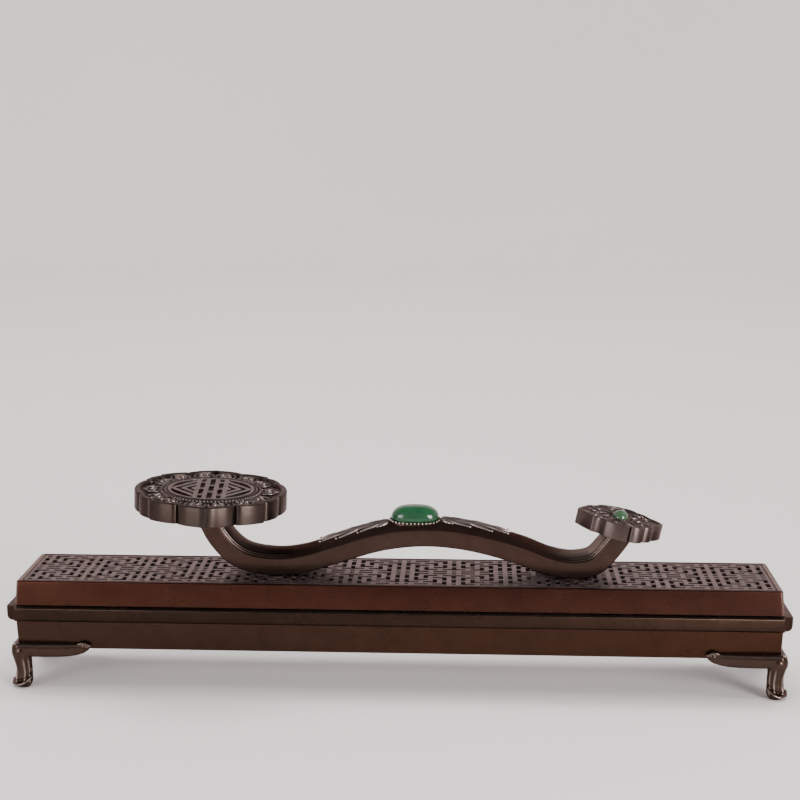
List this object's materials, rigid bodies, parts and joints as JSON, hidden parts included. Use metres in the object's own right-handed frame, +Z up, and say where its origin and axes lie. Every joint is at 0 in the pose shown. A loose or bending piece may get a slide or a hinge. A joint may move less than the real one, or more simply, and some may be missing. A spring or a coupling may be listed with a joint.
{
  "type": "incense burner",
  "caption": "Long bronze-finish incense burner: a footed tray, a lift-off fretwork lid and a ruyi sceptre handle set with green stones, with a pad inside for the stick.",
  "frame": {"origin": "on the table under the middle of the burner", "axes": "+X along the burner towards the sceptre's small head, -Y is the front, +Z up"},
  "size_m": [0.2568, 0.0558, 0.0654],
  "materials": {
    "tray_bronze": "dark brown patina on cast brass, satin",
    "lid_bronze": "reddish brown patina on sheet brass, satin",
    "fret_bronze": "greyish brown patina, rubbed on the top faces",
    "sceptre_bronze": "brown patina with a grey sheen",
    "head_bronze": "grey brown patina, brushed on the rims and dark in the relief",
    "screw_brass": "plain turned brass",
    "green_stone": "polished translucent green cabochon",
    "pale_green_stone": "polished pale green cabochon",
    "pad_felt": "off-white fireproof felt"
  },
  "bodies": {
    "base": {"tray": "tray_bronze", "front_rim_strip": "tray_bronze", "back_rim_strip": "tray_bronze", "left_rim_strip": "tray_bronze", "right_rim_strip": "tray_bronze", "front_left_foot": "tray_bronze", "front_right_foot": "tray_bronze", "back_left_foot": "tray_bronze", "back_right_foot": "tray_bronze", "front_left_foot_screw": "screw_brass", "front_right_foot_screw": "screw_brass", "back_left_foot_screw": "screw_brass", "back_right_foot_screw": "screw_brass"},
    "pad": {"ash_pad": "pad_felt"},
    "lid": {"lid_frame": "lid_bronze", "fret_panel": "fret_bronze", "ruyi_bar": "sceptre_bronze", "ruyi_head": "head_bronze", "head_medallion": "head_bronze", "head_stud": "screw_brass", "ruyi_tail": "head_bronze", "tail_stud": "screw_brass", "centre_bezel": "head_bronze", "centre_stone": "green_stone", "tail_bezel": "head_bronze", "tail_stone": "pale_green_stone", "leaf_spray_left": "head_bronze", "leaf_spray_right": "head_bronze", "handle_screw_left": "screw_brass", "handle_washer_left": "screw_brass", "handle_screw_right": "screw_brass", "handle_washer_right": "screw_brass"}
  },
  "joints": [
    {"name": "lid_lift", "type": "slide", "parent": "base", "child": "lid", "axis": [0, 0, 1], "range_m": [0, 0.06]},
    {"name": "pad_lift", "type": "slide", "parent": "base", "child": "pad", "axis": [0, 0, 1], "range_m": [0, 0.012]}
  ]
}
